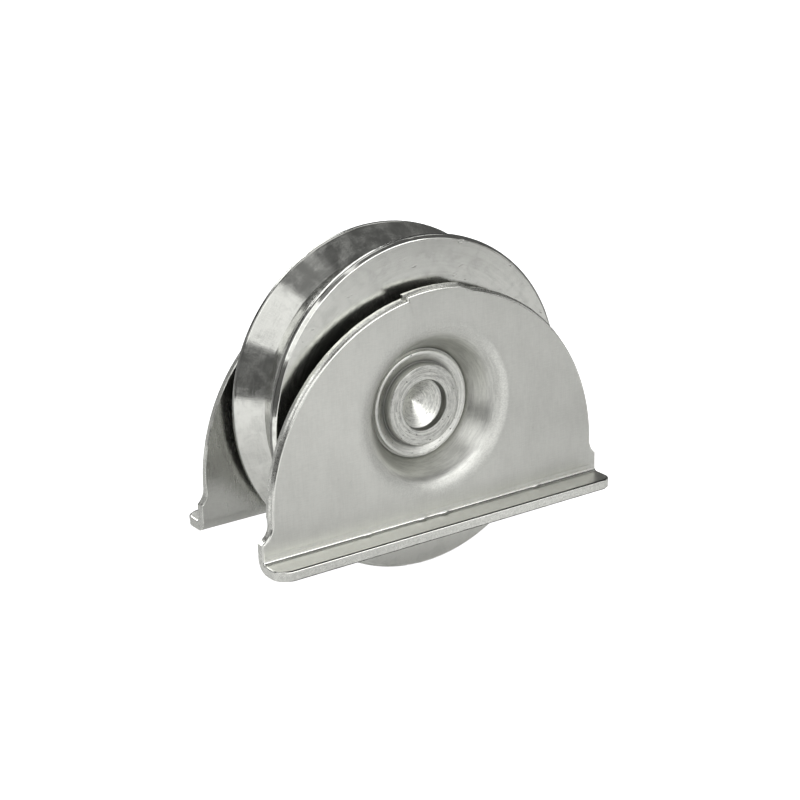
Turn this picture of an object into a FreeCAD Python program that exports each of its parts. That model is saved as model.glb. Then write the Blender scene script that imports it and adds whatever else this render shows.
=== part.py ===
import FreeCAD, Part
import math
import os

V = FreeCAD.Vector

# Sliding-gate wheel in a two-plate recessed support.
# Millimetres.  X runs along the gate's travel, Y is the wheel's spin axis, Z is up.
# Origin: middle of the wheel, on its spin axis.

# Grooved wheel
WHEEL_RADIUS = 50.0
WHEEL_HALF_WIDTH = 12.5
CREST_ROUND = 1.7
GROOVE_FLOOR_RADIUS = 43.6
FLANK_ANGLE = 45.0                    # each flank, from the wheel's mid plane
HUB_HALF_WIDTH = 6.0
HUB_FACE_RADIUS = 28.0                # flat of the recessed side face ends here
RECESS_MOUTH_RADIUS = 31.5
RECESS_ROUND = 2.0

# Side plates: pressed sheet, arched on top, flanged outwards at the bottom
SHEET = 3.0
PLATE_FACE = 19.4                     # outer face, from the mid plane
PLATE_HALF_LENGTH = 59.2
ARCH_RADIUS = 56.25
ARCH_CENTRE_X = 0.75                  # the arch is pressed slightly off centre
ARCH_CENTRE_Z = -21.25
TIP_Z = -26.5                         # where the flared end turns straight down
FLARE_ROUND = 6.0
TAB_HALF_WIDTH = 9.0
TAB_RISE = 1.2
FLANGE_TOP_Z = -32.2
FLANGE_EDGE = 27.9                    # outer edge of the flange, from the mid plane
FLANGE_LEFT_ROUND = 5.0               # plan rounding of the flange's two outer corners
FLANGE_RIGHT_ROUND = 3.5
BEND_ROUND = 1.0                      # inside of the bend

# Dish pressed into the middle of each side plate
DISH_FLOOR_FACE = 10.25
DISH_FLOOR_RADIUS = 17.8
DISH_MOUTH_RADIUS = 22.3
DISH_FLOOR_ROUND = 1.5
DISH_MOUTH_ROUND = 4.0
DISH_BLEND_RADIUS = 26.0              # the plate is flat again outside this

# Riveted axle
AXLE_RADIUS = 8.5
HEAD_RADIUS = 15.95
HEAD_FACE = 11.4
HEAD_GROOVE_OUTER = 14.2
HEAD_GROOVE_FACE = 10.8
BOSS_RADIUS = 12.15
BOSS_FACE = 13.25
CENTRE_HOLE_RADIUS = 7.55
CENTRE_HOLE_STRAIGHT = 2.4
DRILL_POINT_ANGLE = 59.0              # half of a standard 118 degree point

# Ball bearing, 17 x 40 x 12
BEARING_HALF_WIDTH = 6.0
BEARING_RADIUS = 20.0
BALL_COUNT = 8
BALL_RADIUS = 3.3735
PITCH_RADIUS = 14.25
RACE_PLAY = 0.02
RACE_ROUND = 3.51
INNER_SHOULDER_RADIUS = 12.25
OUTER_SHOULDER_RADIUS = 16.5
SHIELD_SEAT_RADIUS = 17.5
SHIELD_SEAT_DEPTH = 1.2
SHIELD_THICKNESS = 0.6
SHIELD_INNER_RADIUS = 12.6
CAGE_INNER_RADIUS = 12.8
CAGE_OUTER_RADIUS = 15.7
CAGE_SHEET = 0.6
CAGE_PLAY = 0.1
CAGE_RIVET_RADIUS = 0.6
CAGE_RIVET_HEAD_RADIUS = 0.95
SPACER_RADIUS = 12.0

AXIS = V(0, 1, 0)


def turn(angle):
    """Unit vector in the XZ plane, angle in degrees from +X towards +Z."""
    return V(math.cos(math.radians(angle)), 0, math.sin(math.radians(angle)))


def rounded_wire(corners):
    """Closed wire through (point, radius) corners, each rounded by a tangent arc."""
    edges = []
    spans = []
    count = len(corners)
    for i, (point, radius) in enumerate(corners):
        before = (corners[i - 1][0] - point).normalize()
        after = (corners[(i + 1) % count][0] - point).normalize()
        if radius == 0:
            spans.append((point, point, None))
            continue
        half = before.getAngle(after) / 2
        reach = radius / math.tan(half)
        inward = (before + after).normalize()
        middle = point + inward * (radius / math.sin(half) - radius)
        spans.append((point + before * reach, point + after * reach, middle))
    for i, (start, end, middle) in enumerate(spans):
        if middle is not None:
            edges.append(Part.Arc(start, middle, end).toShape())
        following = spans[(i + 1) % count][0]
        if end.distanceToPoint(following) > 1e-6:
            edges.append(Part.LineSegment(end, following).toShape())
    return Part.Wire(edges)


def revolved(corners):
    """Solid of revolution about the spin axis from (radius, y, rounding) corners."""
    wire = rounded_wire([(V(r, y, 0), rounding) for r, y, rounding in corners])
    return Part.Face(wire).revolve(V(0, 0, 0), AXIS, 360)


def mirrored_ends(corners):
    """The given corners, then the same ones mirrored in the mid plane in reverse order."""
    return corners + [(r, -y, rounding) for r, y, rounding in reversed(corners)]


def ring(inner, outer, y0, y1):
    """Plain ring about the spin axis."""
    return revolved([(inner, y0, 0), (outer, y0, 0), (outer, y1, 0), (inner, y1, 0)])


def to_rear(shape):
    """Copy of a front piece for the rear side: the same piece, turned half round."""
    copy = shape.copy()
    copy.rotate(V(0, 0, 0), V(0, 0, 1), 180)
    return copy


def make_wheel():
    rise = WHEEL_HALF_WIDTH - CREST_ROUND
    slope = math.tan(math.radians(FLANK_ANGLE))
    # The flank touches the crest's rounding, so its line is fixed by the crest's centre.
    normal = math.radians(90 + FLANK_ANGLE)
    touch_y = rise + CREST_ROUND * math.cos(normal)
    touch_r = WHEEL_RADIUS - CREST_ROUND + CREST_ROUND * math.sin(normal)
    crest_r = touch_r + (WHEEL_HALF_WIDTH - touch_y) / slope
    floor_y = touch_y - (touch_r - GROOVE_FLOOR_RADIUS) * slope
    return revolved(mirrored_ends([
        (BEARING_RADIUS, -HUB_HALF_WIDTH, 0),
        (HUB_FACE_RADIUS, -HUB_HALF_WIDTH, RECESS_ROUND),
        (RECESS_MOUTH_RADIUS, -WHEEL_HALF_WIDTH, RECESS_ROUND),
        (crest_r, -WHEEL_HALF_WIDTH, CREST_ROUND),
        (GROOVE_FLOOR_RADIUS, -floor_y, 0),
    ]))


def flare(side):
    """Concave arc from a flared tip up to the arch: tip, middle and arch points, side is +1 or -1."""
    centre = V(ARCH_CENTRE_X, 0, ARCH_CENTRE_Z)
    tip = V(side * PLATE_HALF_LENGTH, 0, TIP_Z)
    offset = tip - centre
    reach = ARCH_RADIUS + FLARE_ROUND
    cosine = (offset.Length ** 2 + reach ** 2 - FLARE_ROUND ** 2) / (2 * offset.Length * reach)
    level = math.degrees(math.atan2(offset.z, side * offset.x) + math.acos(cosine))
    away = turn(level)
    away.x *= side
    flare_centre = centre + away * reach
    to_tip = (tip - flare_centre).normalize()
    middle = flare_centre + (to_tip - away).normalize() * FLARE_ROUND
    return tip, middle, centre + away * ARCH_RADIUS


def make_arched_web():
    """Upper part of a side plate, above the level of the flared tips."""
    centre = V(ARCH_CENTRE_X, 0, ARCH_CENTRE_Z)
    right_tab = math.degrees(math.acos((TAB_HALF_WIDTH - ARCH_CENTRE_X) / ARCH_RADIUS))
    left_tab = math.degrees(math.acos((-TAB_HALF_WIDTH - ARCH_CENTRE_X) / ARCH_RADIUS))
    tab_radius = ARCH_RADIUS + TAB_RISE
    right_tip, right_mid, right_start = flare(1)
    left_tip, left_mid, left_start = flare(-1)

    def on_arch(angle, radius=ARCH_RADIUS):
        return centre + turn(angle) * radius

    edges = [
        Part.LineSegment(left_tip, right_tip),
        Part.Arc(right_tip, right_mid, right_start),
        Part.Arc(right_start, on_arch(right_tab / 2), on_arch(right_tab)),
        Part.LineSegment(on_arch(right_tab), on_arch(right_tab, tab_radius)),
        Part.Arc(on_arch(right_tab, tab_radius), on_arch(90, tab_radius), on_arch(left_tab, tab_radius)),
        Part.LineSegment(on_arch(left_tab, tab_radius), on_arch(left_tab)),
        Part.Arc(on_arch(left_tab), on_arch(90 + left_tab / 2), left_start),
        Part.Arc(left_start, left_mid, left_tip),
    ]
    face = Part.Face(Part.Wire([edge.toShape() for edge in edges]))
    web = face.extrude(V(0, SHEET, 0))
    web.translate(V(0, -PLATE_FACE, 0))
    return web


def make_flanged_foot():
    """Lower part of a side plate: straight web, outward bend and flange."""
    inner_face = SHEET - PLATE_FACE
    bottom = FLANGE_TOP_Z - SHEET
    corners = [
        (-PLATE_FACE, TIP_Z, 0),
        (-PLATE_FACE, FLANGE_TOP_Z, BEND_ROUND),
        (-FLANGE_EDGE, FLANGE_TOP_Z, 0),
        (-FLANGE_EDGE, bottom, 0),
        (inner_face, bottom, BEND_ROUND + SHEET),
        (inner_face, TIP_Z, 0),
    ]
    x0 = -PLATE_HALF_LENGTH
    wire = rounded_wire([(V(x0, y, z), rounding) for y, z, rounding in corners])
    foot = Part.Face(wire).extrude(V(2 * PLATE_HALF_LENGTH, 0, 0))
    plan = rounded_wire([
        (V(x0, -FLANGE_EDGE, bottom - 1), FLANGE_LEFT_ROUND),
        (V(-x0, -FLANGE_EDGE, bottom - 1), FLANGE_RIGHT_ROUND),
        (V(-x0, 0, bottom - 1), 0),
        (V(x0, 0, bottom - 1), 0),
    ])
    return foot.common(Part.Face(plan).extrude(V(0, 0, 60)))


def make_dish():
    """Middle of a side plate, pressed inwards towards the bearing."""
    drop = PLATE_FACE - DISH_FLOOR_FACE
    bend = math.atan2(drop, DISH_MOUTH_RADIUS - DISH_FLOOR_RADIUS)
    shift = SHEET * math.tan(bend / 2)
    return revolved([
        (AXLE_RADIUS, -DISH_FLOOR_FACE, 0),
        (DISH_FLOOR_RADIUS, -DISH_FLOOR_FACE, DISH_FLOOR_ROUND),
        (DISH_MOUTH_RADIUS, -PLATE_FACE, DISH_MOUTH_ROUND),
        (DISH_BLEND_RADIUS, -PLATE_FACE, 0),
        (DISH_BLEND_RADIUS, SHEET - PLATE_FACE, 0),
        (DISH_MOUTH_RADIUS + shift, SHEET - PLATE_FACE, DISH_MOUTH_ROUND - SHEET),
        (DISH_FLOOR_RADIUS + shift, SHEET - DISH_FLOOR_FACE, DISH_FLOOR_ROUND + SHEET),
        (AXLE_RADIUS, SHEET - DISH_FLOOR_FACE, 0),
    ])


def make_side_plate():
    flat = make_arched_web().fuse(make_flanged_foot())
    opening = Part.makeCylinder(DISH_BLEND_RADIUS, 4 * SHEET, V(0, -PLATE_FACE - SHEET, 0), AXIS)
    return flat.cut(opening).fuse(make_dish()).removeSplitter()


def make_axle():
    """One turned pin whose two heads are formed over the dish floors."""
    cone = CENTRE_HOLE_RADIUS / math.tan(math.radians(DRILL_POINT_ANGLE))
    hole_bottom = BOSS_FACE - CENTRE_HOLE_STRAIGHT
    return revolved(mirrored_ends([
        (0, cone - hole_bottom, 0),
        (CENTRE_HOLE_RADIUS, -hole_bottom, 0),
        (CENTRE_HOLE_RADIUS, -BOSS_FACE, 0.25),
        (BOSS_RADIUS, -BOSS_FACE, 0.4),
        (BOSS_RADIUS + 0.25, -HEAD_GROOVE_FACE, 0),
        (HEAD_GROOVE_OUTER - 0.25, -HEAD_GROOVE_FACE, 0),
        (HEAD_GROOVE_OUTER, -HEAD_FACE, 0),
        (HEAD_RADIUS, -HEAD_FACE, 0.5),
        (HEAD_RADIUS, -DISH_FLOOR_FACE, 0),
        (AXLE_RADIUS, -DISH_FLOOR_FACE, 0),
    ]))


def make_spacer():
    return ring(AXLE_RADIUS, SPACER_RADIUS, SHEET - DISH_FLOOR_FACE, -BEARING_HALF_WIDTH)


def race_torus(floor_radius, side):
    """Tool for a raceway whose floor is at the given radius; side is +1 outwards, -1 inwards."""
    return Part.makeTorus(floor_radius + side * RACE_ROUND, RACE_ROUND, V(0, 0, 0), AXIS)


def make_inner_ring():
    body = revolved(mirrored_ends([
        (AXLE_RADIUS, -BEARING_HALF_WIDTH, 0.6),
        (INNER_SHOULDER_RADIUS, -BEARING_HALF_WIDTH, 0.4),
    ]))
    return body.cut(race_torus(PITCH_RADIUS - BALL_RADIUS - RACE_PLAY, 1))


def make_outer_ring():
    seat = BEARING_HALF_WIDTH - SHIELD_SEAT_DEPTH
    body = revolved(mirrored_ends([
        (OUTER_SHOULDER_RADIUS, -seat, 0),
        (SHIELD_SEAT_RADIUS, -seat, 0),
        (SHIELD_SEAT_RADIUS, -BEARING_HALF_WIDTH, 0),
        (BEARING_RADIUS, -BEARING_HALF_WIDTH, 0.6),
    ]))
    return body.cut(race_torus(PITCH_RADIUS + BALL_RADIUS + RACE_PLAY, -1))


def make_shield():
    outer_face = BEARING_HALF_WIDTH - SHIELD_SEAT_DEPTH + SHIELD_THICKNESS
    return ring(SHIELD_INNER_RADIUS, SHIELD_SEAT_RADIUS, -outer_face, SHIELD_THICKNESS - outer_face)


def ball_centre(index):
    return turn(360.0 * index / BALL_COUNT) * PITCH_RADIUS


def rivet_centre(index):
    return turn(360.0 * (index + 0.5) / BALL_COUNT) * PITCH_RADIUS


def make_cage_half():
    """Front half of the ribbon cage: flat webs between half-round ball pockets."""
    band = ring(CAGE_INNER_RADIUS, CAGE_OUTER_RADIUS, -2 * BALL_RADIUS, 0)
    half = ring(CAGE_INNER_RADIUS, CAGE_OUTER_RADIUS, -CAGE_SHEET, 0)
    pocket = BALL_RADIUS + CAGE_PLAY
    for index in range(BALL_COUNT):
        cup = Part.makeSphere(pocket + CAGE_SHEET, ball_centre(index))
        half = half.fuse(cup.common(band))
    for index in range(BALL_COUNT):
        half = half.cut(Part.makeSphere(pocket, ball_centre(index)))
        hole = Part.makeCylinder(CAGE_RIVET_RADIUS, 4 * CAGE_SHEET,
                                 rivet_centre(index) - AXIS * (2 * CAGE_SHEET), AXIS)
        half = half.cut(hole)
    return half.removeSplitter()


def make_cage_rivets():
    """The identical small rivets that hold the two cage halves together."""
    head = 0.35
    corners = mirrored_ends([
        (0, -CAGE_SHEET - head, 0),
        (CAGE_RIVET_HEAD_RADIUS, -CAGE_SHEET - head, 0.3),
        (CAGE_RIVET_HEAD_RADIUS, -CAGE_SHEET, 0),
        (CAGE_RIVET_RADIUS, -CAGE_SHEET, 0),
    ])
    rivets = []
    for index in range(BALL_COUNT):
        rivet = revolved(corners)
        rivet.translate(rivet_centre(index))
        rivets.append(rivet)
    return Part.makeCompound(rivets)


def write(name, shape):
    shape.exportStep("parts/" + name + ".step")
    print(name, "valid", shape.isValid(), "solids", len(shape.Solids), "mm3", round(shape.Volume, 1))


front_plate = make_side_plate()
front_spacer = make_spacer()
front_shield = make_shield()
front_cage = make_cage_half()

write("front_side_plate", front_plate)
write("rear_side_plate", to_rear(front_plate))
write("axle", make_axle())
write("spacer_front", front_spacer)
write("spacer_rear", to_rear(front_spacer))
write("bearing_inner_ring", make_inner_ring())
write("bearing_cage_front", front_cage)
write("bearing_cage_rear", to_rear(front_cage))
write("bearing_cage_rivets", make_cage_rivets())
for number in range(1, BALL_COUNT + 1):
    write("bearing_ball_" + str(number), Part.makeSphere(BALL_RADIUS, ball_centre(number - 1)))
write("bearing_outer_ring", make_outer_ring())
write("bearing_shield_front", front_shield)
write("bearing_shield_rear", to_rear(front_shield))
write("wheel", make_wheel())
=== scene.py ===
import math

import bmesh
import bpy
from mathutils import Matrix, Vector, noise


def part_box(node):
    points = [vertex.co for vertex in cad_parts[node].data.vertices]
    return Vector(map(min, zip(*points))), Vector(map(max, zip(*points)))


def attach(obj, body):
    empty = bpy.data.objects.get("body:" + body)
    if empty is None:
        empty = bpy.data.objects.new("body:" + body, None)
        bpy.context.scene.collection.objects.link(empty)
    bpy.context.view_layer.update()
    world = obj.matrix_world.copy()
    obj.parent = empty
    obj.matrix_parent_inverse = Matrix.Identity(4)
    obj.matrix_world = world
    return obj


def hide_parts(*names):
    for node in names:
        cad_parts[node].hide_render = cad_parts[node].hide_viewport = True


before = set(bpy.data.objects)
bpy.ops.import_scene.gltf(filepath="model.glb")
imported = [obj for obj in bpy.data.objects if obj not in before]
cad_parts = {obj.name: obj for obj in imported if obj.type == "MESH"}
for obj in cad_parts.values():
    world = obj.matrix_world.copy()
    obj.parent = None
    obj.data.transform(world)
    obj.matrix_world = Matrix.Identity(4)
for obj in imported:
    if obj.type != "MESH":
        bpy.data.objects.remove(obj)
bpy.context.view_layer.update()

# Sliding-gate wheel between two pressed, flanged side plates: zinc-plated steel.
# Shapes are worked out in millimetres and scaled to metres when a mesh is made.
MM = 0.001

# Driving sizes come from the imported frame.
wheel_low, wheel_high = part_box("wheel")
plate_low, plate_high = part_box("front_side_plate")
axle_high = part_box("axle")[1]
WHEEL_RADIUS = wheel_high.z / MM
WHEEL_HALF_WIDTH = wheel_high.y / MM
PLATE_HALF_LENGTH = plate_high.x / MM
FLANGE_EDGE = -plate_low.y / MM
FLANGE_BOTTOM = plate_low.z / MM
HEAD_RADIUS = axle_high.x / MM
BOSS_FACE = axle_high.y / MM

# Wheel profile: each rim has a side corner broken by a facet, a narrow flat crest, then the flank
CREST_ROUND = 1.7                     # sets where the 45 degree flank meets the wheel's full radius
FACET_ANGLE = math.radians(47)        # between the facet's normal and the axis
FACET_SIDE_ROUND = 0.6
FACET_CREST_ROUND = 0.9
FLANK_ROUND = 1.0
CREST_LAND = 0.6                      # flat on the crest, between its two rounds
GROOVE_FLOOR_RADIUS = 43.6
HUB_BORE = 20.0
HUB_HALF_WIDTH = 6.0
HUB_FACE_RADIUS = 28.0
RECESS_MOUTH_RADIUS = 31.5
RECESS_ROUND = 2.0
RIDGE_PITCH = 0.5                     # fine turning ridges on the groove's floor
RIDGE_HEIGHT = 0.07

# Where the wheel's finishes change, measured inwards from the side face or the full radius
GROOVE_FINISH_START = 2.2
FACET_FINISH_END = 1.5
FACET_FINISH_TOP = 0.1
SIDE_FINISH_DEPTH = 0.02

# Side plate
SHEET = 3.0
PLATE_FACE = 19.4
ARCH_RADIUS = 56.25
ARCH_CENTRE = (0.75, -21.25)
TIP_Z = -26.5
FLARE_ROUND = 6.0
TAB_HALF_WIDTH = 9.0
TAB_RISE = 1.2
TAB_RAMP = 5.0                        # degrees of arc over which the tab's right end comes down
FLANGE_TOP_Z = FLANGE_BOTTOM + SHEET
FLANGE_LEFT_ROUND = 5.0
FLANGE_RIGHT_ROUND = 3.5
BEND_ROUND = 1.0
BEND_START = FLANGE_TOP_Z + BEND_ROUND
FOOT_TOP = BEND_START + 2.2           # the foot's grid starts this high, above the pressed line
FOOT_END = 8.0                        # the foot's last stretch at each end, squeezed round the corners
PRESS_LINE = BEND_START + 1.1         # shallow line left by the bending tool
PRESS_LINE_DEPTH = 0.09
PRESS_LINE_HALF_WIDTH = 0.4
BEND_BURR_HEIGHT = 0.22
DISH_FLOOR_FACE = 10.25
DISH_BLEND_RADIUS = 26.4              # where the dish's round mouth meets the flat face
DISH_MOUTH_ROUND = 7.5
DISH_WALL_ANGLE = math.radians(58)    # between the wall and the flat face
DISH_INNER_FLOOR = 19.7
DISH_INNER_MOUTH = 24.2
DISH_INNER_ROUND = 4.5
PLATE_HOLE_REACH = 27.0               # the face's rings round the dish end here
AXLE_RADIUS = 8.5

# Sheared edge of the plate: rolled over on the outer face, torn towards the inner face
ROLL_WIDTH = 0.6
ROLL_DEPTH = 0.45
ROLL_STEPS = 7
CUT_DEPTH = 0.9                       # the tearing starts this deep
TEAR_DEPTH = 1.5                      # and is full from here
BURR = 0.3
BREAK_OUT = 0.55                      # how far the torn part of the arch stands beyond its outer rim
BREAK_OUT_START = TIP_Z + 2.5         # it starts this high, above the flared ends' tips
BREAK_OUT_RAMP = 4.0                  # and is full after this much more height
COARSE_TEAR = (1.3, 0.06)             # size of the torn part's bumps, and how deep they are
FINE_TEAR = (0.55, 0.03)

# Axle head
HEAD_FACE = 11.4
HEAD_GROOVE_OUTER = 15.2
HEAD_GROOVE_INNER = 12.75
HEAD_GROOVE_FACE = 10.4
BOSS_RADIUS = 12.15
CENTRE_HOLE_RADIUS = 7.55
CENTRE_HOLE_STRAIGHT = 2.4
DRILL_POINT_ANGLE = math.radians(59)  # between the cone's wall and the axis
DRILL_TIP_RADIUS = 0.05

# Knocks from handling: size of one, how rare they are from 0 to 1, and how deep
RIM_KNOCKS = (3.1, 0.42, 0.35)
HEAD_KNOCKS = (1.7, 0.38, 0.5)

# Meshes
WHEEL_SEGMENTS = 448                  # points round the wheel
AXLE_SEGMENTS = 320
SHARP_ANGLE = math.radians(32)        # corners sharper than this aren't smoothed over
EDGE_SPACING = 0.62                   # about this far between points of the web's arch and flares
END_SPACING = 0.9                     # and along the plate's two straight ends
TAB_SPACING = 1.1                     # between the points of the tab's arc, before it is divided
COLUMN_SPACING = 1.1                  # between the foot's columns
BEND_STEPS = 8                        # round the bend
CORNER_STEPS = 12                     # down the flange's rounded corners
WEB_SHARES = (0.2, 0.5, 0.8, 0.95)    # where the web's rings lie between the dish and the outline


# ---------------------------------------------------------------- profiles and meshes

def rounded(corners, step):
    """Points through (a, b, radius) corners, with an arc at each corner, one point every step degrees."""
    points = []
    for i, (a, b, radius) in enumerate(corners):
        here = Vector((a, b))
        if radius == 0:
            points.append((a, b))
            continue
        to_before = (Vector(corners[i - 1][:2]) - here).normalized()
        to_after = (Vector(corners[i + 1][:2]) - here).normalized()
        half = to_before.angle(to_after) / 2
        reach = radius / math.tan(half)
        centre = here + (to_before + to_after).normalized() * radius / math.sin(half)
        start = here + to_before * reach - centre
        sweep = start.angle_signed(here + to_after * reach - centre)
        pieces = max(2, math.ceil(abs(math.degrees(sweep)) / step))
        for k in range(pieces + 1):
            spot = centre + Matrix.Rotation(-sweep * k / pieces, 2) @ start
            points.append((spot.x, spot.y))
    return points


def mirrored_ends(corners):
    """The given (r, y, rounding) corners, then the same ones mirrored in y in reverse order."""
    return corners + [(r, -y, rounding) for r, y, rounding in reversed(corners)]


def divided(points, longest):
    """The same polyline with its long stretches divided evenly."""
    result = [points[0]]
    for (a0, b0), (a1, b1) in zip(points, points[1:]):
        pieces = max(1, math.ceil(math.hypot(a1 - a0, b1 - b0) / longest))
        for k in range(1, pieces + 1):
            result.append((a0 + (a1 - a0) * k / pieces, b0 + (b1 - b0) * k / pieces))
    return result


def make_piece(name, points, faces, materials, kinds):
    """Mesh object from millimetre points, smooth shaded with its true corners kept sharp.

    kinds has one number for each face, its place in the list of materials.
    """
    mesh = bpy.data.meshes.new(name)
    mesh.from_pydata([Vector(p) * MM for p in points], [], faces)
    for material in materials:
        mesh.materials.append(material)
    mesh.polygons.foreach_set("material_index", kinds)
    edit = bmesh.new()
    edit.from_mesh(mesh)
    bmesh.ops.recalc_face_normals(edit, faces=edit.faces)
    edit.to_mesh(mesh)
    edit.free()
    mesh.shade_smooth()
    mesh.set_sharp_from_angle(angle=SHARP_ANGLE)
    piece = bpy.data.objects.new(name, mesh)
    bpy.context.scene.collection.objects.link(piece)
    weighted = piece.modifiers.new("weighted_normals", "WEIGHTED_NORMAL")
    weighted.keep_sharp = True
    return piece


def spun(name, profile, segments, materials, shape, pick_material=None, closed=True):
    """Piece turned about the Y axis from (radius, y) points.

    shape moves single points, pick_material says which material a stretch of the profile has, and
    closed joins the profile's last point to its first.
    """
    points = []
    faces = []
    kinds = []
    rows = len(profile)
    for s in range(segments):
        angle = 2 * math.pi * s / segments
        for profile_r, profile_y in profile:
            r, y = shape(profile_r, profile_y, angle)
            points.append((r * math.cos(angle), y, r * math.sin(angle)))
    for s in range(segments):
        after = (s + 1) % segments
        for i in range(rows if closed else rows - 1):
            j = (i + 1) % rows
            faces.append((s * rows + i, s * rows + j, after * rows + j, after * rows + i))
            middle = [(profile[i][k] + profile[j][k]) / 2 for k in (0, 1)]
            kinds.append(pick_material(*middle) if pick_material else 0)
    return make_piece(name, points, faces, materials, kinds)


def wobble(x, y, z, size, seed):
    """Smooth noise from -1 to 1 with features of the given size in millimetres."""
    return noise.noise(Vector((x / size + seed, y / size - seed, z / size + 2 * seed)))


def knock_depth(x, y, z, knocks, seed):
    """Depth of the knocks at a point: where the noise stands above a level."""
    size, level, depth = knocks
    return depth * max(0.0, wobble(x, y, z, size, seed) - level)


def bump_at(distance, width):
    """1 at no distance, falling smoothly to 0 at the given width."""
    t = min(1.0, abs(distance) / width)
    return (1 - t * t) ** 2


# ---------------------------------------------------------------- materials

class Nodes:
    """Short way to write a node tree: each method adds a node and returns its output."""

    def __init__(self, material):
        material.use_nodes = True
        self.tree = material.node_tree
        self.tree.nodes.clear()
        self.shader = self.tree.nodes.new("ShaderNodeBsdfPrincipled")
        output = self.tree.nodes.new("ShaderNodeOutputMaterial")
        self.tree.links.new(self.shader.outputs["BSDF"], output.inputs["Surface"])

    def add(self, kind, inputs=(), output=0, **settings):
        node = self.tree.nodes.new(kind)
        for key, value in settings.items():
            setattr(node, key, value)
        for key, value in dict(inputs).items():
            if isinstance(value, bpy.types.NodeSocket):
                self.tree.links.new(value, node.inputs[key])
            else:
                node.inputs[key].default_value = value
        return node.outputs[output]

    def math(self, operation, a, b=0.0, c=0.0):
        return self.add("ShaderNodeMath", {0: a, 1: b, 2: c}, operation=operation)

    def place(self):
        return self.add("ShaderNodeTexCoord", output="Object")

    def scaled(self, vector, scale):
        return self.add("ShaderNodeMapping", {"Vector": vector, "Scale": scale})

    def noise(self, vector, detail=3.0, roughness=0.5, distortion=0.0):
        inputs = {"Vector": vector, "Scale": 1.0, "Detail": detail, "Roughness": roughness,
                  "Distortion": distortion}
        return self.add("ShaderNodeTexNoise", inputs)

    def ramp(self, value, low, high, to_low=0.0, to_high=1.0):
        """Smooth step of value from to_low at low to to_high at high."""
        inputs = {"Value": value, "From Min": low, "From Max": high, "To Min": to_low,
                  "To Max": to_high}
        return self.add("ShaderNodeMapRange", inputs, interpolation_type="SMOOTHSTEP")

    def band(self, value, start, full, fade, end):
        """0 up to start, 1 from full to fade, and 0 again from end on."""
        return self.math("MULTIPLY", self.ramp(value, start, full), self.ramp(value, end, fade))

    def mix(self, factor, colour_a, colour_b):
        inputs = {0: factor, 6: colour_a, 7: colour_b}
        return self.add("ShaderNodeMix", inputs, output=2, data_type="RGBA")

    def bump(self, height, distance, before=None):
        inputs = {"Height": height, "Distance": distance, "Strength": 1.0}
        if before is not None:
            inputs["Normal"] = before
        return self.add("ShaderNodeBump", inputs)

    def polar(self):
        """(radius, y, angle) about the spin axis, and the radius alone, in metres and radians."""
        parts = self.tree.nodes.new("ShaderNodeSeparateXYZ")
        self.tree.links.new(self.place(), parts.inputs[0])
        x, y, z = parts.outputs
        square = self.math("ADD", self.math("MULTIPLY", x, x), self.math("MULTIPLY", z, z))
        radius = self.math("SQRT", square)
        angle = self.math("ARCTAN2", z, x)
        return self.add("ShaderNodeCombineXYZ", {0: radius, 1: y, 2: angle}), radius

    def shade(self, **inputs):
        for name, value in inputs.items():
            socket = self.shader.inputs[name.replace("_", " ")]
            if isinstance(value, bpy.types.NodeSocket):
                self.tree.links.new(value, socket)
            else:
                socket.default_value = value


def grey(level):
    """Neutral colour."""
    return (level, level, level, 1.0)


def zinc(level):
    """Bright zinc: a grey with slightly less blue in it."""
    return (level * 0.995, level, level * 0.945, 1.0)


def new_material(name):
    """A new material, and its node tree ready to be written."""
    material = bpy.data.materials.new(name)
    return material, Nodes(material)


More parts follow.
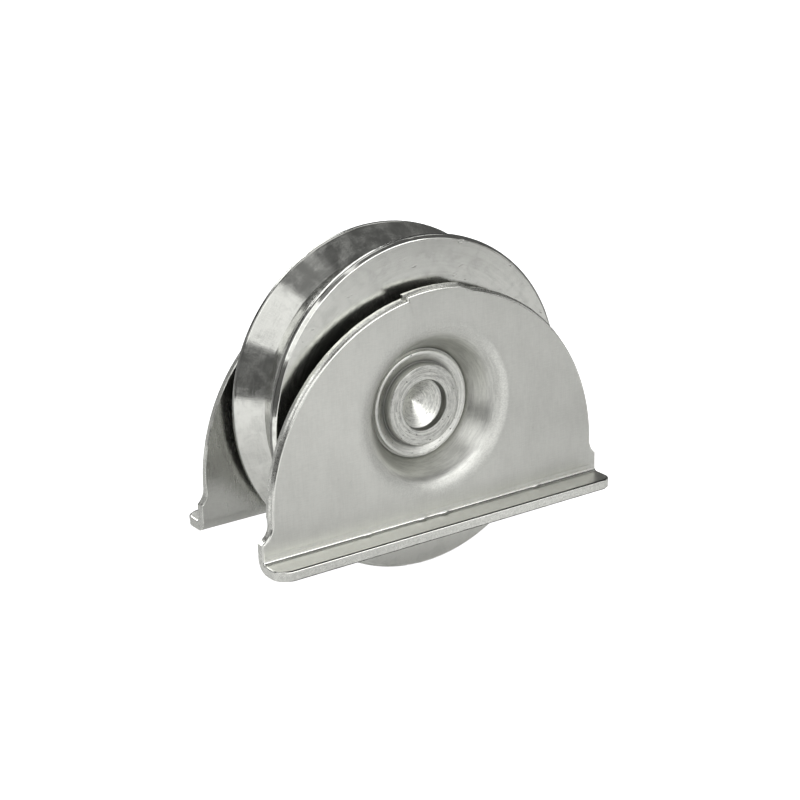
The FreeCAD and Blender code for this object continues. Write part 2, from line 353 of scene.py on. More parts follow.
def sheet_face(name, dull, bright, polish=0.0, bend_polish=0.18):
    """Satin zinc plating on pressed sheet, between a dull and a bright grey.

    It has upright grain and mottling all over. The dish has a grainy mouth with a painted highlight on
    one side of its rim, turned strokes on its wall, and painted shade at its foot. The bend is polished.
    """
    material, n = new_material(name)
    place = n.place()
    polar, radius = n.polar()
    mottle = n.noise(n.scaled(place, (110, 110, 70)), detail=5, roughness=0.6)
    grain = n.noise(n.scaled(place, (2600, 2600, 300)), detail=3, roughness=0.65)
    weft = n.noise(n.scaled(place, (420, 420, 2900)), detail=3, roughness=0.6)
    peel = n.noise(n.scaled(place, (2100, 2100, 2100)), detail=3, roughness=0.75)
    turned = n.noise(n.scaled(polar, (1700, 1700, 4.0)), detail=4, roughness=0.7)

    # Zones of the dish, by radius in metres, and of the bend, by height.
    mouth = n.band(radius, 0.0205, 0.0225, 0.0240, 0.0285)
    wall = n.band(radius, 0.0160, 0.0172, 0.0215, 0.0240)
    rim = n.band(radius, 0.0228, 0.0240, 0.0250, 0.0262)
    foot = n.ramp(radius, 0.0172, 0.0165)
    angle = n.math("ABSOLUTE", n.add("ShaderNodeSeparateXYZ", {0: polar}, output=2))
    z = n.add("ShaderNodeSeparateXYZ", {0: place}, output=2)
    bend_low = FLANGE_TOP_Z * MM
    bend_high = BEND_START * MM
    bend = n.band(z, bend_low, bend_low + 0.0002, bend_high, bend_high + 0.0003)

    weave = n.math("MULTIPLY", n.math("ADD", grain, weft), 0.3)
    tone = n.ramp(n.math("ADD", n.math("MULTIPLY", mottle, 0.4), weave), 0.35, 0.65)
    satin_tone = n.mix(tone, zinc(dull), zinc(bright))
    # Painted highlight: the rim of the dish's mouth is lightened towards one side, as if it caught the
    # light.
    uneven = n.math("MULTIPLY", n.ramp(angle, 1.0, 0.45), n.ramp(mottle, 0.2, 0.6))
    painted_rim_highlight = n.math("MULTIPLY", rim, uneven)
    clean = n.mix(n.math("MULTIPLY", painted_rim_highlight, 0.65), satin_tone, zinc(0.80))
    grainy = n.math("MULTIPLY", n.ramp(peel, 0.42, 0.58), mouth)
    pressed = n.mix(n.math("MULTIPLY", grainy, 0.30), clean, zinc(0.34))
    strokes = n.math("MULTIPLY", n.ramp(turned, 0.42, 0.60), wall)
    brushed = n.mix(n.math("MULTIPLY", strokes, 0.45), pressed, zinc(0.80))
    # Painted shade: the dish's foot, in the crevice round the axle's head, is darkened.
    painted_foot_shade = n.math("MULTIPLY", foot, n.ramp(mottle, 0.2, 0.6, 0.75, 1.0))
    colour = n.mix(n.math("MULTIPLY", painted_foot_shade, 0.6), brushed, zinc(0.2))

    satin = n.math("ADD", n.ramp(grain, 0.25, 0.75, 0.29, 0.37), n.ramp(mottle, 0.3, 0.7, -0.02, 0.04))
    dish_rough = n.math("ADD", satin, n.math("MULTIPLY_ADD", wall, 0.02, -polish))
    rough = n.math("ADD", dish_rough, n.math("MULTIPLY", bend, -bend_polish))
    first = n.bump(n.math("ADD", grain, weft), 0.000011)
    second = n.bump(n.math("MULTIPLY", peel, mouth), 0.00012, first)
    third = n.bump(n.math("MULTIPLY", turned, wall), 0.00005, second)
    n.shade(Base_Color=colour, Metallic=1.0, Roughness=rough, Normal=third)
    return material


def sheet_edge():
    """Torn part of the sheared edge: streaks across the thickness over small pits."""
    material, n = new_material("plated_sheet_edge")
    place = n.place()
    tear = n.noise(n.scaled(place, (1500, 700, 1500)), detail=4, roughness=0.65)
    pits = n.noise(n.scaled(place, (4200, 4200, 4200)), detail=2, roughness=0.6)
    tone = n.ramp(tear, 0.3, 0.7)
    colour = n.mix(tone, zinc(0.58), zinc(0.74))
    rough = n.ramp(tear, 0.3, 0.7, 0.36, 0.22)
    first = n.bump(tear, 0.000012)
    second = n.bump(pits, 0.000005, first)
    n.shade(Base_Color=colour, Metallic=1.0, Roughness=rough, Normal=second)
    return material


def turned_finish(name, level, ring_scale, ring_depth, roughness, stain):
    """Turned and plated steel: fine rings about the axis, faint stains, pinholes and a few dents."""
    material, n = new_material(name)
    place = n.place()
    polar, _ = n.polar()
    rings = n.noise(n.scaled(polar, (ring_scale, ring_scale, 1.2)), detail=3, roughness=0.6)
    stains = n.noise(n.scaled(place, (260, 260, 260)), detail=5, roughness=0.62, distortion=0.6)
    pinholes = n.ramp(n.noise(n.scaled(place, (1500, 1500, 1500)), detail=2), 0.70, 0.80)
    dents = n.ramp(n.noise(n.scaled(place, (420, 420, 420)), detail=0), 0.77, 0.84)
    dirty = n.ramp(stains, 0.42, 0.72)
    colour = n.mix(dirty, zinc(level), zinc(level * (1 - stain)))
    low, high = roughness
    rough = n.math("ADD", n.ramp(rings, 0.3, 0.7, low, high), n.ramp(dirty, 0.0, 1.0, 0.0, 0.35 * stain))
    first = n.bump(rings, ring_depth)
    second = n.bump(pinholes, -0.00002, first)
    third = n.bump(dents, -0.00005, second)
    n.shade(Base_Color=colour, Metallic=1.0, Roughness=rough, Normal=third)
    return material


def head_finish():
    """Riveted axle head: turned rings, scratches, dark pits, and painted shade in the groove and on the
    hole's wall.
    """
    material, n = new_material("turned_steel_head")
    place = n.place()
    polar, radius = n.polar()
    rings = n.noise(n.scaled(polar, (2600, 2600, 1.6)), detail=4, roughness=0.7)
    scars = n.noise(n.scaled(polar, (1700, 1700, 7)), detail=5, roughness=0.75, distortion=0.4)
    spots = n.noise(n.scaled(place, (1150, 1150, 1150)), detail=2, roughness=0.5)
    pit = n.ramp(spots, 0.69, 0.73)
    marks = n.math("ADD", n.math("MULTIPLY", scars, 0.35), n.math("MULTIPLY", rings, 0.65))
    worn = n.ramp(marks, 0.40, 0.60)

    # Zones of the head, by radius in metres.
    cone = n.ramp(radius, 0.0076, 0.0068)
    wall = n.band(radius, 0.00735, 0.0075, 0.0076, 0.0078)
    boss = n.band(radius, 0.0066, 0.0078, 0.0121, 0.0127)
    hollow = n.band(radius, 0.0121, 0.0124, 0.0127, 0.0136)

    plain = n.mix(worn, zinc(0.52), zinc(0.70))
    outer = n.mix(boss, plain, n.mix(worn, zinc(0.38), zinc(0.66)))
    clean = n.mix(cone, outer, n.mix(worn, zinc(0.52), zinc(0.84)))
    # Painted shade: the groove round the boss and the centre hole's wall are darkened; the pits are real
    # dark marks.
    painted_groove_shade = n.math("MAXIMUM", n.math("MULTIPLY", hollow, 0.68), n.math("MULTIPLY", wall, 0.75))
    shade_and_pits = n.math("MAXIMUM", painted_groove_shade, n.math("MULTIPLY", pit, 0.85))
    colour = n.mix(shade_and_pits, clean, zinc(0.10))
    turned = n.math("ADD", n.ramp(rings, 0.3, 0.7, 0.24, 0.36), n.ramp(scars, 0.3, 0.7, 0.0, 0.08))
    rough = n.math("ADD", turned, n.math("MULTIPLY", hollow, 0.25))
    first = n.bump(rings, 0.00003)
    second = n.bump(scars, 0.00006, first)
    third = n.bump(pit, -0.00012, second)
    n.shade(Base_Color=colour, Metallic=1.0, Roughness=rough, Normal=third)
    return material


def groove_finish():
    """Bright groove: nearly a mirror, with soft smudges and fine brushed haze."""
    material, n = new_material("plated_wheel_groove")
    place = n.place()
    polar, _ = n.polar()
    rings = n.noise(n.scaled(polar, (5200, 5200, 0.8)), detail=2, roughness=0.5)
    smudge = n.noise(n.scaled(place, (190, 190, 190)), detail=5, roughness=0.62, distortion=0.5)
    wipe = n.noise(n.scaled(polar, (2400, 2400, 10)), detail=4, roughness=0.7)
    across = n.noise(n.scaled(polar, (260, 260, 150)), detail=4, roughness=0.7)
    cloudy = n.ramp(smudge, 0.30, 0.68)
    brushed = n.math("ADD", n.ramp(wipe, 0.3, 0.7, 0.0, 0.5), n.ramp(across, 0.3, 0.7, 0.0, 0.5))
    haze = n.math("MULTIPLY", cloudy, n.math("ADD", n.math("MULTIPLY", brushed, 0.7), 0.3))
    colour = n.mix(haze, zinc(0.67), zinc(0.54))
    rough = n.math("ADD", n.ramp(rings, 0.3, 0.7, 0.07, 0.12), n.ramp(haze, 0.0, 1.0, 0.0, 0.12))
    metallic = n.ramp(haze, 0.0, 1.0, 1.0, 0.84)
    first = n.bump(rings, 0.0000014)
    second = n.bump(n.math("ADD", wipe, across), 0.000005, first)
    n.shade(Base_Color=colour, Metallic=metallic, Roughness=rough, Normal=second)
    return material


def bearing_finish(name, level, roughness):
    """Ground bearing steel: bright, with fine grinding lines about the axis."""
    material, n = new_material(name)
    polar, _ = n.polar()
    lines = n.noise(n.scaled(polar, (6000, 6000, 2.0)), detail=2)
    cloud = n.noise(n.scaled(n.place(), (300, 300, 300)), detail=3)
    low, high = roughness
    rough = n.ramp(lines, 0.3, 0.7, low, high)
    colour = n.mix(cloud, zinc(level), zinc(level * 0.93))
    n.shade(Base_Color=colour, Metallic=1.0, Roughness=rough, Normal=n.bump(lines, 0.000001))
    return material


# ---------------------------------------------------------------- wheel

GROOVE, SIDE, RIM, FACET = range(4)


def wheel_profile():
    """(radius, y) points of the wheel's section, with fine turning ridges on the groove floor."""
    flank_rise = WHEEL_RADIUS - WHEEL_HALF_WIDTH + CREST_ROUND * math.sqrt(2)
    flank_y = WHEEL_RADIUS - flank_rise
    floor_y = GROOVE_FLOOR_RADIUS - flank_rise
    flank_reach = FLANK_ROUND * math.tan(math.radians(45 / 2))
    crest_y = flank_y + flank_reach + CREST_LAND
    facet_y = crest_y + FACET_CREST_ROUND * math.tan((math.pi / 2 - FACET_ANGLE) / 2)
    facet_r = WHEEL_RADIUS - (WHEEL_HALF_WIDTH - facet_y) / math.tan(FACET_ANGLE)
    half = [
        (HUB_BORE, -HUB_HALF_WIDTH, 0),
        (HUB_FACE_RADIUS, -HUB_HALF_WIDTH, RECESS_ROUND),
        (RECESS_MOUTH_RADIUS, -WHEEL_HALF_WIDTH, RECESS_ROUND),
        (facet_r, -WHEEL_HALF_WIDTH, FACET_SIDE_ROUND),
        (WHEEL_RADIUS, -facet_y, FACET_CREST_ROUND),
        (WHEEL_RADIUS, -flank_y, FLANK_ROUND),
    ]
    side = rounded(half + [(GROOVE_FLOOR_RADIUS, -floor_y, 0)], step=5)
    ridges = []
    count = round(2 * floor_y / RIDGE_PITCH)
    for k in range(1, count):
        y = -floor_y + 2 * floor_y * k / count
        ridges.append((GROOVE_FLOOR_RADIUS - (RIDGE_HEIGHT if k % 2 else 0.0), y))
    other = [(r, -y) for r, y in reversed(side)]
    return side + ridges + other


def wheel_kind(r, y):
    """Which finish a stretch of the section has."""
    inwards = WHEEL_HALF_WIDTH - abs(y)
    if inwards > GROOVE_FINISH_START and r > GROOVE_FLOOR_RADIUS - 1:
        return GROOVE
    if r < WHEEL_RADIUS - 2 * CREST_ROUND or inwards < SIDE_FINISH_DEPTH:
        return SIDE
    return FACET if r < WHEEL_RADIUS - FACET_FINISH_TOP and inwards < FACET_FINISH_END else RIM


def wheel_shape(r, y, angle):
    """Slight knocks on the two rims."""
    if r < WHEEL_RADIUS - 2.0 or abs(y) < WHEEL_HALF_WIDTH - 3:
        return r, y
    around = 60.0  # the noise is read on a circle of this radius
    x, z = around * math.cos(angle), around * math.sin(angle)
    return r - knock_depth(x, y, z, RIM_KNOCKS, 7.0), y


def make_wheel():
    """The turned wheel, with its four finishes in the order of GROOVE, SIDE, RIM and FACET; the rim's is
    darkened as painted shade and the facet's lightened as a painted highlight.
    """
    finishes = [
        groove_finish(),
        turned_finish("plated_wheel_side", 0.60, 2600, 0.0000022, (0.17, 0.23), 0.10),
        # Painted shade: the rim's crest gets a much darker copy of the turned finish.
        turned_finish("plated_wheel_rim_painted_shade", 0.31, 4200, 0.000002, (0.14, 0.24), 0.25),
        # Painted highlight: the facet gets a lighter copy of the turned finish, for a bright streak.
        turned_finish("plated_wheel_facet_painted_highlight", 0.80, 4200, 0.000001, (0.06, 0.12), 0.3),
    ]
    wheel = spun("wheel_turned", wheel_profile(), WHEEL_SEGMENTS, finishes, wheel_shape, wheel_kind)
    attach(wheel, "wheel")
    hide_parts("wheel")


# ---------------------------------------------------------------- side plates

FACE, EDGE, INSIDE, ROLLED = range(4)
BEND_LENGTH = BEND_ROUND * math.pi / 2  # along the outer face
BLANK_EDGE = BEND_START - BEND_LENGTH - (FLANGE_EDGE - PLATE_FACE - BEND_ROUND)
# Burrs left along the bend: where each one is, and how wide.
BEND_BURRS = ((-25.1, 0.9), (-6.0, 0.7), (1.8, 1.3), (36.0, 0.5))


def on_sheet(x, s, depth):
    """Point of the bent sheet: x along it, s up the web and out over the flange, depth into it."""
    turn = (BEND_START - s) / BEND_ROUND
    corner_y = -PLATE_FACE - BEND_ROUND
    if turn <= 0:
        return Vector((x, depth - PLATE_FACE, s))
    if turn < math.pi / 2:
        reach = BEND_ROUND + depth
        return Vector((x, corner_y + reach * math.cos(turn), BEND_START - reach * math.sin(turn)))
    run = BEND_START - BEND_LENGTH - s
    return Vector((x, corner_y - run, FLANGE_TOP_Z - depth))


def arc_points(centre, radius, first, last, spacing):
    """Points along an arc about centre from one angle to another, in degrees."""
    length = abs(math.radians(last - first)) * radius
    pieces = max(1, round(length / spacing))
    result = []
    for k in range(pieces + 1):
        angle = math.radians(first + (last - first) * k / pieces)
        result.append((centre[0] + radius * math.cos(angle), centre[1] + radius * math.sin(angle)))
    return result


def flare_arc(side, spacing):
    """Concave arc of one flared end, from its tip up to the arch, and the arch's angle there."""
    offset = Vector((side * PLATE_HALF_LENGTH - ARCH_CENTRE[0], TIP_Z - ARCH_CENTRE[1]))
    reach = ARCH_RADIUS + FLARE_ROUND
    cosine = (offset.length_squared + reach ** 2 - FLARE_ROUND ** 2) / (2 * offset.length * reach)
    level = math.atan2(offset.y, side * offset.x) + math.acos(cosine)
    away = Vector((side * math.cos(level), math.sin(level)))
    centre = Vector(ARCH_CENTRE) + away * reach
    tip = Vector((side * PLATE_HALF_LENGTH, TIP_Z))
    start = tip - centre
    sweep = start.angle_signed(-away)
    pieces = round(abs(sweep) * FLARE_ROUND / spacing)
    result = []
    for k in range(pieces + 1):
        spot = centre + Matrix.Rotation(-sweep * k / pieces, 2) @ start
        result.append((spot.x, spot.y))
    return result, math.degrees(math.atan2(away.y, away.x))


def web_outline(spacing):
    """Outline of the web above FOOT_TOP, from its lower left over the arch to its lower right."""
    left_flare, left_level = flare_arc(-1, spacing)
    right_flare, right_level = flare_arc(1, spacing)
    left_level %= 360
    left_tab = math.degrees(math.acos((-TAB_HALF_WIDTH - ARCH_CENTRE[0]) / ARCH_RADIUS))
    right_tab = math.degrees(math.acos((TAB_HALF_WIDTH - ARCH_CENTRE[0]) / ARCH_RADIUS))
    tab_radius = ARCH_RADIUS + TAB_RISE
    left_side = divided([(-PLATE_HALF_LENGTH, FOOT_TOP), (-PLATE_HALF_LENGTH, TIP_Z)], END_SPACING)
    right_side = divided([(PLATE_HALF_LENGTH, TIP_Z), (PLATE_HALF_LENGTH, FOOT_TOP)], END_SPACING)
    tab = arc_points(ARCH_CENTRE, tab_radius, left_tab, right_tab, TAB_SPACING)
    arch = arc_points(ARCH_CENTRE, ARCH_RADIUS, right_tab - TAB_RAMP, right_level, spacing)
    return (
        left_side
        + left_flare[1:]
        + arc_points(ARCH_CENTRE, ARCH_RADIUS, left_level, left_tab, spacing)[1:]
        + divided(tab + arch[:1], spacing)
        + arch[1:]
        + list(reversed(right_flare))[1:]
        + right_side[1:]
    )


def foot_rows():
    """Levels s of the foot's grid from FOOT_TOP down to the flange's edge."""
    line = [PRESS_LINE + step for step in (0.45, 0.2, 0.0, -0.2, -0.45)]
    bend = [BEND_START - BEND_LENGTH * k / BEND_STEPS for k in range(BEND_STEPS + 1)]
    flange_start = BEND_START - BEND_LENGTH
    round_start = BLANK_EDGE + max(FLANGE_LEFT_ROUND, FLANGE_RIGHT_ROUND)
    flat = [flange_start + (round_start - flange_start) * k / 3 for k in (1, 2)]
    tail = []
    for k in range(CORNER_STEPS + 1):
        level = 1 - math.sin(math.pi / 2 * k / CORNER_STEPS)
        tail.append(BLANK_EDGE + (round_start - BLANK_EDGE) * level)
    return [FOOT_TOP] + line + [BEND_START + 0.3] + bend + flat + tail


def foot_end(s, side):
    """Outermost x of the sheet at level s, with the flange's rounded corners."""
    radius = FLANGE_RIGHT_ROUND if side > 0 else FLANGE_LEFT_ROUND
    above = BLANK_EDGE + radius - s
    if above <= 0:
        return side * PLATE_HALF_LENGTH
    drop = radius - math.sqrt(max(0.0, radius ** 2 - above ** 2))
    return side * (PLATE_HALF_LENGTH - drop)


def foot_columns(spacing):
    """x positions of the foot's columns at full length, closer together at the ends."""
    ends = [PLATE_HALF_LENGTH - d for d in (0.0, 0.9, 1.8, 2.8, 3.9, 5.2, 6.6, FOOT_END)]
    count = round(2 * ends[-1] / spacing)
    middle = [ends[-1] * (2 * k / count - 1) for k in range(1, count)]
    return [-x for x in ends] + middle + list(reversed(ends))


def column_at(x, s):
    """Where a column stands at level s: the last stretch before each end is squeezed."""
    side = 1 if x > 0 else -1
    free = PLATE_HALF_LENGTH - FOOT_END
    if abs(x) <= free:
        return x
    share = (abs(x) - free) / FOOT_END
    return side * (free + share * (abs(foot_end(s, side)) - free))


def outward_directions(loop):
    """Outward mitred direction at each point of a closed loop that runs clockwise."""
    result = []
    count = len(loop)
    for i in range(count):
        before = Vector(loop[i]) - Vector(loop[i - 1])
        after = Vector(loop[(i + 1) % count]) - Vector(loop[i])
        normals = [Vector((-d.y, d.x)).normalized() for d in (before, after)]
        both = normals[0] + normals[1]
        result.append(both / max(0.4, 1 + normals[0].dot(normals[1])))
    return result


def edge_steps():
    """(inset, depth) across the sheared edge, from the outer face to the inner face."""
    steps = []
    for k in range(ROLL_STEPS + 1):
        angle = math.pi / 2 * k / ROLL_STEPS
        steps.append((ROLL_WIDTH * (1 - math.sin(angle)), ROLL_DEPTH * (1 - math.cos(angle))))
    steps.append((0.0, 1.0))
    steps.append((0.02, TEAR_DEPTH))
    steps.append((0.06, TEAR_DEPTH + 0.35))
    steps.append((0.06, 2.4))
    steps.append((0.03, SHEET - BURR))
    steps.append((BURR * 0.3, SHEET - BURR * 0.4))
    steps.append((BURR, SHEET))
    return steps


def share_between(value, low, high):
    """0 at low and 1 at high, in a straight line between them."""
    return min(1.0, max(0.0, (value - low) / (high - low)))


def edge_rough(x, s, depth):
    """Extra inset of a point on the edge: rough where torn, and outwards only along the arch."""
    torn = share_between(depth, CUT_DEPTH, TEAR_DEPTH)
    outwards = BREAK_OUT * torn * share_between(s, BREAK_OUT_START, BREAK_OUT_START + BREAK_OUT_RAMP)
    if depth <= 0 or depth >= SHEET:
        return -outwards
    coarse_size, coarse_depth = COARSE_TEAR
    fine_size, fine_depth = FINE_TEAR
    coarse = coarse_depth * (0.5 + wobble(x, s, depth * 0.6, coarse_size, 3.0))
    fine = fine_depth * (0.5 + wobble(x, s, depth, fine_size, 9.0))
    return torn * (coarse + fine) - outwards


def dish_outer():
    """(radius, y) of the plate's outer face from the hole to the flat."""
    corner = DISH_BLEND_RADIUS - DISH_MOUTH_ROUND * math.tan(DISH_WALL_ANGLE / 2)
    foot = corner - (PLATE_FACE - DISH_FLOOR_FACE) / math.tan(DISH_WALL_ANGLE)
    corners = [
        (AXLE_RADIUS, -DISH_FLOOR_FACE, 0),
        (foot, -DISH_FLOOR_FACE, 0.3),
        (corner, -PLATE_FACE, DISH_MOUTH_ROUND),
        (PLATE_HOLE_REACH, -PLATE_FACE, 0),
    ]
    return divided(rounded(corners, step=3), 1.4)


def dish_inner():
    """(radius, y) of the plate's inner face from the hole to the flat."""
    corners = [
        (AXLE_RADIUS, SHEET - DISH_FLOOR_FACE, 0),
        (DISH_INNER_FLOOR, SHEET - DISH_FLOOR_FACE, DISH_INNER_ROUND),
        (DISH_INNER_MOUTH, SHEET - PLATE_FACE, 1.0),
        (PLATE_HOLE_REACH, SHEET - PLATE_FACE, 0),
    ]
    return rounded(corners, step=9)


class Grid:
    """Points, faces and kinds of face of a plate, as they are made."""

    def __init__(self):
        self.points = []
        self.faces = []
        self.kinds = []

    def point(self, spot):
        self.points.append(tuple(spot))
        return len(self.points) - 1

    def strip(self, first, second, kind, loop=False):
        """Quads between two rows of point numbers."""
        count = len(first)
        for i in range(count if loop else count - 1):
            j = (i + 1) % count
            corners = (first[i], first[j], second[j], second[i])
            if len(set(corners)) > 2:
                self.faces.append(tuple(dict.fromkeys(corners)))
                self.kinds.append(kind)


def press_line_depth(s):
    """Depth of the shallow line that the bending tool leaves above the bend."""
    return PRESS_LINE_DEPTH * bump_at(s - PRESS_LINE, PRESS_LINE_HALF_WIDTH)


def bend_burr(x, s):
    """How far the small burrs along the bend stand proud of the sheet."""
    near_bend = bump_at(s - (BEND_START - 0.3), 0.9)
    height = 0.0
    for place, width in BEND_BURRS:
        height += bump_at(x - place, width)
    return BEND_BURR_HEIGHT * near_bend * height


def sheared_edge(grid, loop):
    """The edge all round the sheet. Returns its rims on the outer and the inner face."""
    away = outward_directions(loop)
    bands = []
    for inset, depth in edge_steps():
        band = []
        for (x, s), outwards in zip(loop, away):
            inwards = inset + edge_rough(x, s, depth)
            spot = on_sheet(x - outwards.x * inwards, s - outwards.y * inwards, depth)
            band.append(grid.point(spot))
        bands.append(band)
    for k, (first, second) in enumerate(zip(bands, bands[1:])):
        grid.strip(first, second, ROLLED if k < ROLL_STEPS else EDGE, loop=True)
    return bands[0], bands[-1]


def foot_grid(grid, rows, columns, left, right, front, depth, kind):
    """Grid of the foot from FOOT_TOP to the front edge, on one face. Returns its first row."""
    table = []
    for j, s in enumerate(rows[:-1]):
        row = [left[j]]
        for x in columns[1:-1]:
            relief = press_line_depth(s) - bend_burr(x, s) if depth == 0 else 0.0
            row.append(grid.point(on_sheet(column_at(x, s), s, depth + relief)))
        row.append(right[j])
        table.append(row)
    table.append(front)
    for first, second in zip(table, table[1:]):
        grid.strip(first, second, kind)
    return table[0]


def web_rings(grid, boundary, dish, kind):
    """Rings of the web from the axle's hole out to the boundary. Returns the hole's ring."""
    spots = [Vector(grid.points[i]) for i in boundary]
    angles = [math.atan2(p.z, p.x) for p in spots]
    rings = []
    for r, y in dish:
        rings.append([grid.point((r * math.cos(a), y, r * math.sin(a))) for a in angles])
    edge_r, edge_y = dish[-1]
    for share in WEB_SHARES:
        ring = []
        for a, p in zip(angles, spots):
            start = Vector((edge_r * math.cos(a), edge_y, edge_r * math.sin(a)))
            ring.append(grid.point(start.lerp(p, share)))
        rings.append(ring)
    rings.append(boundary)
    for first, second in zip(rings, rings[1:]):
        grid.strip(first, second, kind, loop=True)
    return rings[0]


def make_plate(name, node, finishes, turned):
    """One side plate, made as the front one, and turned half round about Z for the rear."""
    outline = web_outline(EDGE_SPACING)
    rows = foot_rows()
    columns = foot_columns(COLUMN_SPACING)
    right_side = [(foot_end(s, 1), s) for s in rows[1:]]
    front_edge = [(column_at(x, rows[-1]), rows[-1]) for x in reversed(columns)][1:]
    left_side = [(foot_end(s, -1), s) for s in reversed(rows[1:-1])]
    grid = Grid()
    outer_rim, inner_rim = sheared_edge(grid, outline + right_side + front_edge + left_side)

    # Each face is the foot's grid and the web's rings, joined to the edge's rim on that side.
    web_end = len(outline)
    right_end = web_end + len(right_side)
    front_end = right_end + len(front_edge)
    holes = []
    sides = ((outer_rim, 0.0, dish_outer(), FACE), (inner_rim, SHEET, dish_inner(), INSIDE))
    for rim, depth, dish, kind in sides:
        right = rim[web_end - 1:right_end]
        front = list(reversed(rim[right_end - 1:front_end]))
        left = [rim[0]] + list(reversed(rim[front_end:])) + [front[0]]
        first_row = foot_grid(grid, rows, columns, left, right, front, depth, kind)
        boundary = rim[:web_end] + list(reversed(first_row))[1:-1]
        holes.append(web_rings(grid, boundary, dish, kind))
    grid.strip(holes[0], holes[1], FACE, loop=True)

    if turned:
        grid.points = [(-x, -y, z) for x, y, z in grid.points]
    plate = make_piece(name, grid.points, grid.faces, finishes, grid.kinds)
    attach(plate, "support")
    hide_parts(node)


# ---------------------------------------------------------------- axle

def axle_profile():
    """(radius, y) points of the axle from its front drill point to its rear one."""
    cone = CENTRE_HOLE_RADIUS / math.tan(DRILL_POINT_ANGLE)
    bottom = BOSS_FACE - CENTRE_HOLE_STRAIGHT
    half = [
        (DRILL_TIP_RADIUS, cone - bottom, 0),
        (CENTRE_HOLE_RADIUS, -bottom, 0.12),
        (CENTRE_HOLE_RADIUS, -BOSS_FACE, 0.4),
        (BOSS_RADIUS, -BOSS_FACE, 0.5),
        (BOSS_RADIUS + 0.2, -HEAD_GROOVE_FACE, 0.2),
        (HEAD_GROOVE_INNER, -HEAD_GROOVE_FACE, 0.2),
        (HEAD_GROOVE_OUTER, -HEAD_FACE, 0.5),
        (HEAD_RADIUS, -HEAD_FACE, 0.4),
        (HEAD_RADIUS, -DISH_FLOOR_FACE, 0),
        (AXLE_RADIUS, -DISH_FLOOR_FACE, 0),
    ]
    return divided(rounded(mirrored_ends(half), step=9), 0.9)


def axle_shape(r, y, angle):
    """Small knocks in the riveted ring and a slightly uneven boss."""
    x, z = r * math.cos(angle), r * math.sin(angle)
    sign = 1 if y > 0 else -1
    if abs(y) > HEAD_FACE - 0.5 and r > HEAD_GROOVE_OUTER - 0.1:
        knock = knock_depth(x, y * 0.2, z, HEAD_KNOCKS, 4.0)
        return r - knock, y - sign * knock
    if abs(y) > BOSS_FACE - 0.5 and CENTRE_HOLE_RADIUS + 0.3 < r < BOSS_RADIUS - 0.2:
        return r, y - sign * 0.05 * (0.5 + 0.5 * wobble(x, y, z, 2.5, 2.0))
    return r, y


def make_axle():
    """The axle with its two riveted heads."""
    finishes = [head_finish()]
    axle = spun("axle_riveted", axle_profile(), AXLE_SEGMENTS, finishes, axle_shape, closed=False)
    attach(axle, "support")
    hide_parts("axle")


# ---------------------------------------------------------------- bearing nodes from the frame

def finish_bearing():
    """Procedural finishes for the bearing and spacers, which stay as imported from model.glb."""
    finishes = {
        "spacer": turned_finish("turned_steel_spacer", 0.55, 2500, 0.000003, (0.25, 0.35), 0.1),
        "bearing_inner": bearing_finish("ground_ring", 0.62, (0.10, 0.18)),
        "bearing_outer": bearing_finish("ground_ring_outer", 0.62, (0.12, 0.2)),
        "bearing_ball": bearing_finish("lapped_ball", 0.68, (0.03, 0.06)),
        "bearing_cage": turned_finish("pressed_cage", 0.58, 900, 0.000004, (0.25, 0.38), 0.15),
        "bearing_shield": turned_finish("pressed_shield", 0.6, 1800, 0.000005, (0.2, 0.3), 0.1),
    }
    for node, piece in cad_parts.items():
        for start, finish in finishes.items():
            if node.startswith(start):
                for holder in piece.material_slots:
                    holder.material = finish


# ---------------------------------------------------------------- stage, light and camera

def direction(azimuth, elevation):
    """Unit vector towards a place in the studio: azimuth 0 is the front, 90 the right."""
    a, e = math.radians(azimuth), math.radians(elevation)
    return Vector((math.sin(a) * math.cos(e), -math.cos(a) * math.cos(e), math.sin(e)))


def softbox(name, azimuth, elevation, wide, high, radiance, distance):
    """Rectangular light that fills wide by high degrees, seen from the object, distance metres away."""
    lamp = bpy.data.lights.new(name, "AREA")
    lamp.shape = "RECTANGLE"
    lamp.size = 2 * distance * math.tan(math.radians(wide / 2))
    lamp.size_y = 2 * distance * math.tan(math.radians(high / 2))
    lamp.energy = radiance * math.pi * lamp.size * lamp.size_y
    light = bpy.data.objects.new(name, lamp)
    back = direction(azimuth, elevation)
    light.location = back * distance
    light.rotation_euler = back.to_track_quat("Z", "Y").to_euler()
    bpy.context.scene.collection.objects.link(light)
    return light


def circle(radius, height, segments=96):
    """Points of a level circle about the origin."""
    turn = 2 * math.pi / segments
    return [(radius * math.cos(turn * k), radius * math.sin(turn * k), height) for k in range(segments)]


def stage_piece(name, points, faces, material):
    """Mesh of the stage, in metres."""
    mesh = bpy.data.meshes.new(name)
    mesh.from_pydata(points, [], faces)
    mesh.materials.append(material)
    piece = bpy.data.objects.new(name, mesh)
    bpy.context.scene.collection.objects.link(piece)
    return piece


def only_for_camera(piece):
    """Leave a stage piece out of the object's light and reflections."""
    piece.visible_glossy = False
    piece.visible_diffuse = False
    piece.visible_shadow = False


TABLE_RADIUS = 0.45
TABLE_GLOW = 0.16
FLOOR_RADIUS = 4.0
FLOOR_DROP = 0.0005                   # the floor lies this far under the table
FLOOR_GLOW = 0.95
BACKDROP_HEIGHT = 3.5
STUDIO_GLOW = 0.11                    # brightness of the room all round
# Where the table is dim: middle of the patch, its inner and outer radius, and how light it is inside.
DIM_PATCHES = (
    ((-0.125, 0.09), 0.05, 0.13, 0.35),
    ((0.15, -0.07), 0.05, 0.12, 0.55),
    ((-0.06, -0.08), 0.04, 0.12, 0.66),
)


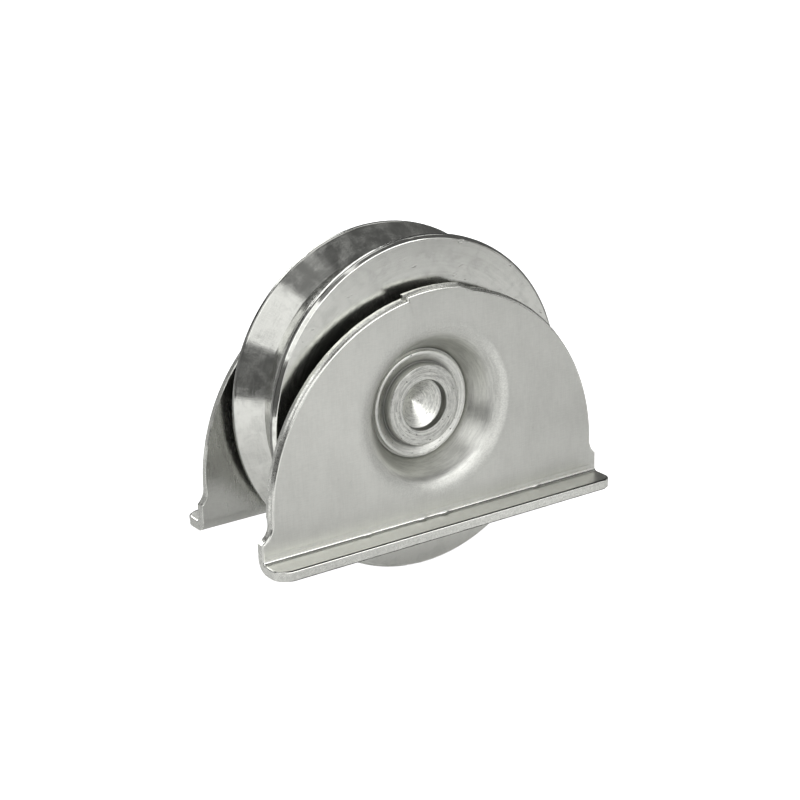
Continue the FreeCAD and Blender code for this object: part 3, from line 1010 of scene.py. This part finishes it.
def table_paper():
    """White card with soft dim patches, and a little dimmer towards its right."""
    material, n = new_material("white_card")
    place = n.place()
    light = n.ramp(n.add("ShaderNodeSeparateXYZ", {0: place}), 0.03, 0.14, 1.0, 0.85)
    for (x, y), near, far, level in DIM_PATCHES:
        middle = (x, y, wheel_low.z)
        offset = n.add("ShaderNodeVectorMath", {0: place, 1: middle}, operation="SUBTRACT")
        away = n.add("ShaderNodeVectorMath", {0: offset}, output=1, operation="LENGTH")
        light = n.math("MULTIPLY", light, n.ramp(away, near, far, level, 1.0))
    n.shade(Base_Color=n.mix(light, grey(0.3), grey(0.8)), Roughness=0.9, Emission_Color=grey(1.0))
    n.shade(Emission_Strength=n.math("MULTIPLY", light, TABLE_GLOW))
    return material


def make_stage():
    """Pale floor and backdrop, a white table that the metal mirrors, and a dim studio around them."""
    height = wheel_low.z
    glow, n = new_material("white_floor")
    n.shade(Base_Color=grey(0.8), Roughness=0.9, Emission_Color=grey(1.0), Emission_Strength=FLOOR_GLOW)
    floor_line = circle(FLOOR_RADIUS, height - FLOOR_DROP)
    top_line = circle(FLOOR_RADIUS, height + BACKDROP_HEIGHT)
    count = len(floor_line)
    wall = [(k, (k + 1) % count, count + (k + 1) % count, count + k) for k in range(count)]
    only_for_camera(stage_piece("floor", floor_line, [tuple(range(count))], glow))
    only_for_camera(stage_piece("backdrop", floor_line + top_line, wall, glow))
    table = stage_piece("table", circle(TABLE_RADIUS, height), [tuple(range(count))], table_paper())
    table.visible_camera = False
    table.visible_shadow = False

    world = bpy.data.worlds.new("studio")
    world.use_nodes = True
    background = world.node_tree.nodes["Background"]
    background.inputs["Color"].default_value = grey(1.0)
    background.inputs["Strength"].default_value = STUDIO_GLOW
    bpy.context.scene.world = world


# Lights: azimuth, elevation, width and height in degrees, radiance, and distance in metres.
LIGHTS = {
    "softbox_left": (-50, 35, 36, 30, 1.05, 1.2),
    "softbox_side": (-83, 41, 26, 36, 1.4, 1.2),
    "softbox_front": (15, 36, 44, 28, 2.4, 1.2),
    "softbox_front_left": (-20, 32, 28, 26, 0.8, 1.2),
    "softbox_top": (-60, 86, 34, 34, 0.95, 1.2),
    "softbox_high": (-22, 58, 44, 16, 0.13, 1.2),
    "studio_front": (10, 20, 70, 50, 0.42, 1.4),
    "studio_front_low": (2, 10, 80, 24, 0.6, 1.2),
    "studio_right": (118, 55, 34, 18, 0.8, 1.2),
    "studio_right_low": (74, 8, 46, 26, 0.5, 1.2),
    "softbox_back": (178, 36, 34, 20, 4.0, 1.2),
    "softbox_back_left": (-128, 33, 18, 26, 1.3, 1.2),
    "studio_back_left_low": (-148, 4, 32, 24, 0.35, 1.2),
    "overhead_fill": (-62, 62, 60, 60, 1.0, 1.0),
}
UNSEEN_IN_REFLECTIONS = ("overhead_fill",)


def make_lights():
    """The soft studio lights."""
    for name, settings in LIGHTS.items():
        light = softbox(name, *settings)
        light.visible_glossy = name not in UNSEEN_IN_REFLECTIONS


# Camera: where it stands, in degrees and metres, and how far it is moved sideways and up to frame.
CAMERA_AZIMUTH = -33.219
CAMERA_ELEVATION = 18.773
CAMERA_ROLL = math.radians(-1.734)
CAMERA_DISTANCE = 0.50201
CAMERA_LENS = 76.279
CAMERA_RIGHT = 0.000115
CAMERA_UP = -0.001788


def make_camera():
    """Camera that looks at the object's middle from the front left."""
    lens = bpy.data.cameras.new("camera")
    lens.sensor_width = 36.0
    lens.lens = CAMERA_LENS
    lens.clip_start = 0.01
    lens.clip_end = 20.0
    back = direction(CAMERA_AZIMUTH, CAMERA_ELEVATION)
    right = direction(CAMERA_AZIMUTH + 90, 0)
    up = back.cross(right)
    turned_right = right * math.cos(CAMERA_ROLL) + up * math.sin(CAMERA_ROLL)
    turned_up = up * math.cos(CAMERA_ROLL) - right * math.sin(CAMERA_ROLL)
    camera = bpy.data.objects.new("camera", lens)
    pose = Matrix((turned_right, turned_up, back)).transposed().to_4x4()
    pose.translation = back * CAMERA_DISTANCE + turned_right * CAMERA_RIGHT + turned_up * CAMERA_UP
    camera.matrix_world = pose
    bpy.context.scene.collection.objects.link(camera)
    bpy.context.scene.camera = camera
    bpy.context.scene.view_settings.view_transform = "Standard"


make_wheel()
# In the order of FACE, EDGE, INSIDE and ROLLED.
sheet_finishes = [
    sheet_face("plated_sheet_face", 0.54, 0.62),
    sheet_edge(),
    # Painted shade: the plates' inner faces get a darker copy of the face's finish.
    sheet_face("plated_sheet_inside_painted_shade", 0.44, 0.54, polish=0.10, bend_polish=0.0),
    # Painted highlight: the rolled rim of the edge gets a lighter copy of the face's finish.
    sheet_face("plated_sheet_rolled_painted_highlight", 0.66, 0.78, polish=0.15, bend_polish=0.0),
]
make_plate("front_side_plate_pressed", "front_side_plate", sheet_finishes, turned=False)
make_plate("rear_side_plate_pressed", "rear_side_plate", sheet_finishes, turned=True)
make_axle()
finish_bearing()
make_stage()
make_lights()
make_camera()
